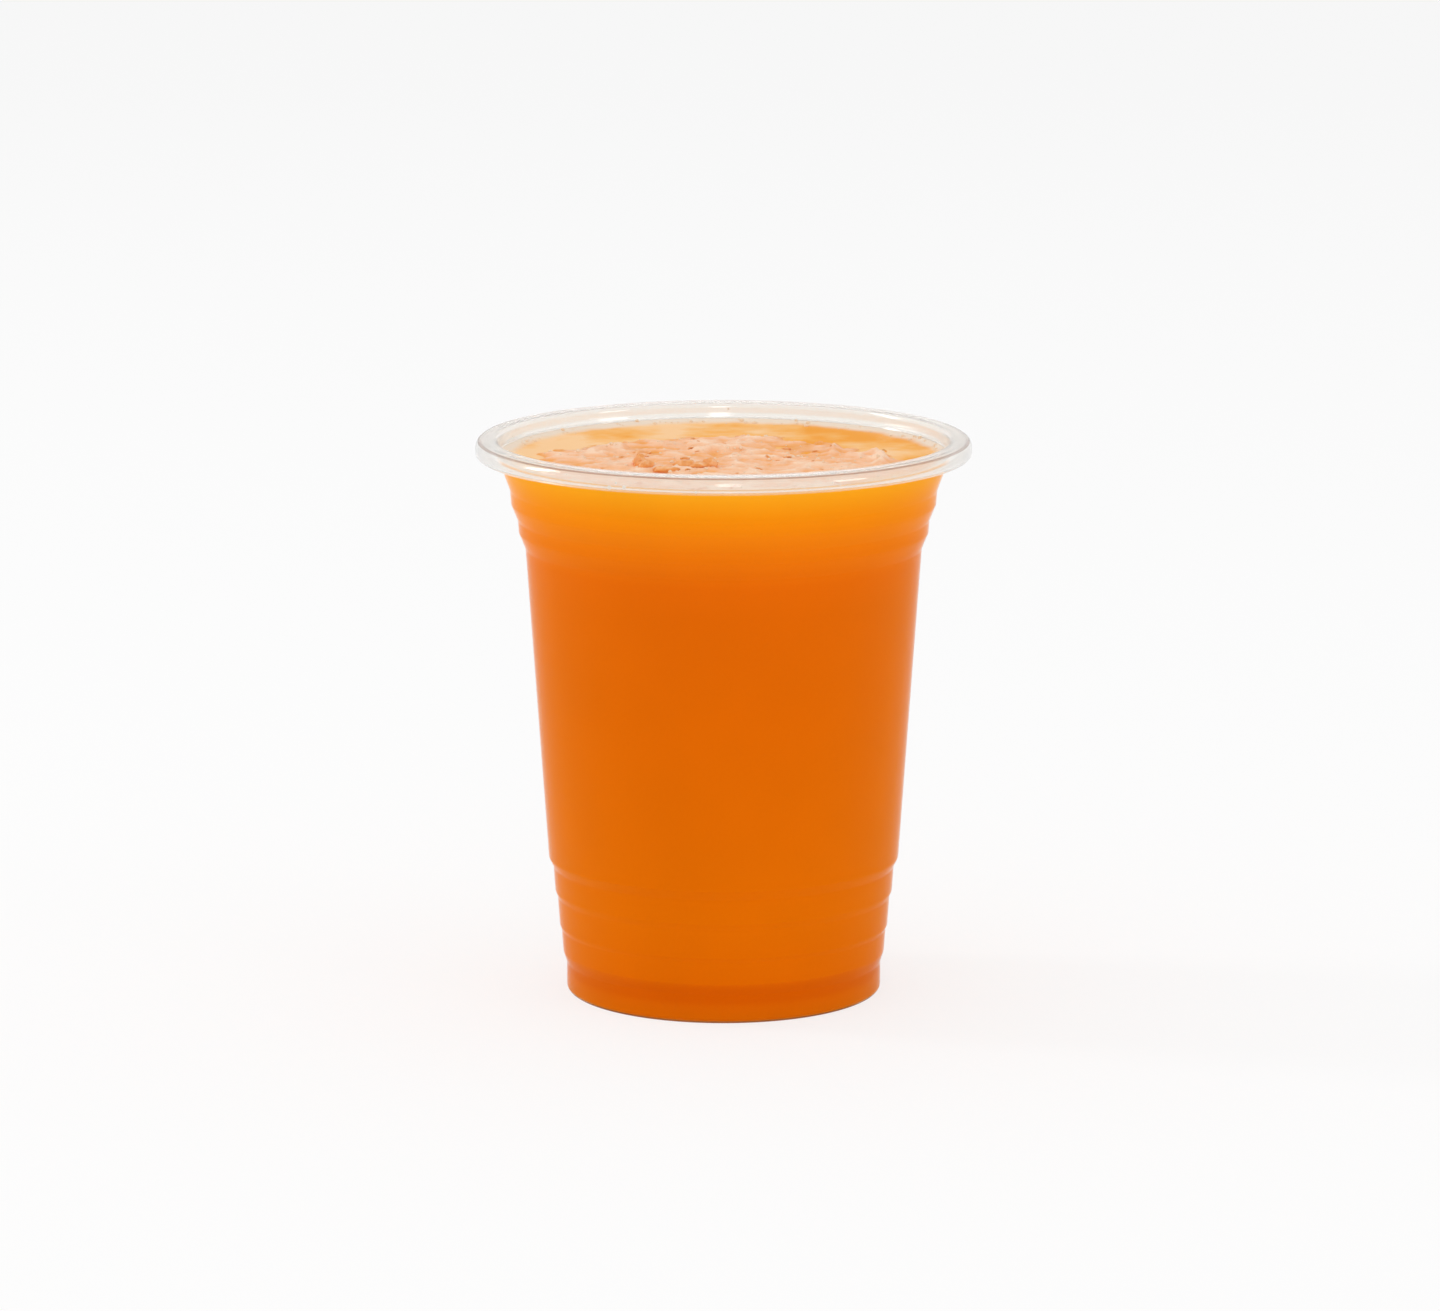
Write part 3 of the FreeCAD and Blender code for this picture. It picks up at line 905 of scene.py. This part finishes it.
def wet_finish(name, colour, roughness, index):
    """A wet gloss over one colour, which is a little darker in patches."""
    material, tree, place = blank_material(name)
    cloud = add(tree, "ShaderNodeTexNoise", {"Vector": place, "Scale": 1 / MOTTLE_WIDTH}).outputs[0]
    shade = add(tree, "ShaderNodeMapRange", {"Value": cloud, "To Min": 0.85, "To Max": 1.0})
    tint = add(tree, "ShaderNodeVectorMath", {0: linear(colour)[:3], "Scale": shade.outputs[0]},
               operation="SCALE")
    gloss = add(tree, "ShaderNodeBsdfPrincipled", {
        "Base Color": tint.outputs[0], "Roughness": roughness, "IOR": index})
    add(tree, "ShaderNodeOutputMaterial", {"Surface": gloss.outputs[0]})
    return material


bubble_film = wet_finish("bubble_film", "fbdcba", 0.10, 1.33)
juice_drop = wet_finish("drained_juice_drop", "f1e6d8", 0.08, 1.34)

bubble = ball("bubble_shape", 0.8, 10)
froth_bubbles = grow("froth_bubbles", scatter_tree, Ground=raft, Shape=bubble,
                     Lowest=juice_level + 0.05 * MM, Highest=cup_high.z, Inwards=0.0,
                     Density=0.07 / MM ** 2, Smallest=0.15 * MM, Largest=0.5 * MM,
                     Seed=4, Material=bubble_film)
keep(froth_bubbles, "juice_froth")
rim_bubbles = grow("rim_bubbles", scatter_tree, Ground=juice, Shape=bubble,
                   Lowest=juice_level + 0.25 * MM, Highest=cup_high.z, Inwards=1.0,
                   Density=0.25 / MM ** 2, Smallest=0.15 * MM, Largest=0.5 * MM,
                   Seed=11, Material=bubble_film)
keep(rim_bubbles, "juice_froth")
drop = ball("drop_shape", 0.45, 10)
wall_drops = grow("wall_drops", scatter_tree, Ground=cup, Shape=drop,
                  Lowest=juice_level + 1.2 * MM, Highest=cup_high.z - 1.0 * MM, Inwards=1.0,
                  Density=0.02 / MM ** 2, Smallest=0.12 * MM, Largest=0.45 * MM,
                  Seed=7, Material=juice_drop)
keep(wall_drops, "carrot_juice")

# %% [markdown]
# ## Pulp
#
# The juicer lets some pulp through. Most of it is fine shreds that lie in the froth,
# and a few lumps of it have stuck together and stand up through the froth. A lump is
# a ball that is pressed flat and crumpled by noise. A shred is a thin bent strip, and
# the scattering rule strews it.

# %% Lumps of pulp
# Each lump: its place from the axis, its length, width and height, and its turn, in
# millimetres and degrees.
PULP_LUMPS = (
    (-15.7, 3.8, 3.4, 2.6, 0.8, 20), (-15.8, -11.5, 2.4, 4.6, 3.2, 12),
    (-14.4, -14.5, 2.4, 3.8, 2.2, -30), (-11.0, -18.0, 5.2, 3.0, 1.5, -15),
    (-7.2, -12.2, 4.4, 4.0, 1.8, -8), (-4.6, -13.6, 3.8, 3.2, 1.4, 20),
    (-2.6, -12.4, 3.0, 3.0, 2.4, 35),
)
CRUMPLE = 0.32
CRUMPLE_WIDTH = 1.3 * MM
LUMP_SUNK = 0.35         # share of a lump's height that is below the froth


def lump_piece(name, lumps, material):
    """Crumpled, flattened balls that stand in the froth, as one piece."""
    shell = bmesh.new()
    for x, y, length, width, height, turn in lumps:
        half = Vector((length, width, height)) * MM / 2
        eye = Vector((x * MM, y * MM, cup_high.z))
        middle = raft.ray_cast(eye, Vector((0, 0, -1)))[1]
        middle.z += half.z * (1 - 2 * LUMP_SUNK)
        angle = Matrix.Rotation(math.radians(turn), 4, "Z")
        made = bmesh.ops.create_icosphere(shell, subdivisions=4, radius=1)["verts"]
        for vertex in made:
            place = middle + angle @ (vertex.co * half)
            swell = 1 + CRUMPLE * noise.fractal(place / CRUMPLE_WIDTH, 1.0, 2.0, 3)
            vertex.co = middle + angle @ (vertex.co * half * swell)
    mesh = bpy.data.meshes.new(name)
    shell.to_mesh(mesh)
    shell.free()
    mesh.shade_smooth()
    mesh.materials.append(material)
    piece = bpy.data.objects.new(name, mesh)
    scene.collection.objects.link(piece)
    keep(piece, "juice_froth")
    print(name, len(lumps), "lumps")


pulp, tree, place = blank_material("wet_carrot_pulp")
patch = add(tree, "ShaderNodeTexNoise", {"Vector": place, "Scale": 1 / CRUMPLE_WIDTH,
                                         "Detail": 4.0}).outputs[0]
colour = add(tree, "ShaderNodeValToRGB", {0: patch}, stops=(
    (0.3, "e3924e"), (0.5, "f2a55e"), (0.7, "f9c594"))).outputs[0]
wet = add(tree, "ShaderNodeBsdfPrincipled", {"Base Color": colour, "Roughness": 0.4,
                                             "IOR": 1.34})
add(tree, "ShaderNodeOutputMaterial", {"Surface": wet.outputs[0]})
lump_piece("pulp_lumps", PULP_LUMPS, pulp)

# %% Shreds of pulp
# A shred is one unit long before the rule scales it. It arches up from the face, and
# only its ends reach into it.
SHRED_STEPS = 6
SHRED_HALF_WIDTH = 0.13
SHRED_HALF_THICKNESS = 0.06
SHRED_TAPER = 0.8        # 0 leaves the ends as wide as the middle, 1 makes them points
SHRED_BEND = 0.7
SHRED_ARCH = 0.1         # how high its middle is above its ends

shreds = bmesh.new()
last = None
for step in range(SHRED_STEPS + 1):
    along = step / SHRED_STEPS - 0.5
    narrow = math.cos(math.pi * along * SHRED_TAPER)
    middle = Vector((along, SHRED_BEND * along ** 2, SHRED_ARCH * math.cos(math.pi * along)))
    ring = [shreds.verts.new(middle + Vector((0, side * SHRED_HALF_WIDTH * narrow,
                                              up * SHRED_HALF_THICKNESS)))
            for side, up in ((-1, -1), (1, -1), (1, 1), (-1, 1))]
    if last:
        for number in range(4):
            nearby = (number + 1) % 4
            shreds.faces.new((last[number], last[nearby], ring[nearby], ring[number]))
    else:
        shreds.faces.new(ring[::-1])
    last = ring
shreds.faces.new(last)
shred_mesh = bpy.data.meshes.new("shred")
shreds.to_mesh(shred_mesh)
shreds.free()
shred = bpy.data.objects.new("shred", shred_mesh)
pulp_shreds = grow("pulp_shreds", scatter_tree, Ground=raft, Shape=shred,
                   Lowest=juice_level + 0.1 * MM, Highest=cup_high.z, Inwards=0.0,
                   Density=0.012 / MM ** 2, Smallest=0.9 * MM, Largest=2.6 * MM,
                   Seed=23, Material=pulp)
keep(pulp_shreds, "juice_froth")
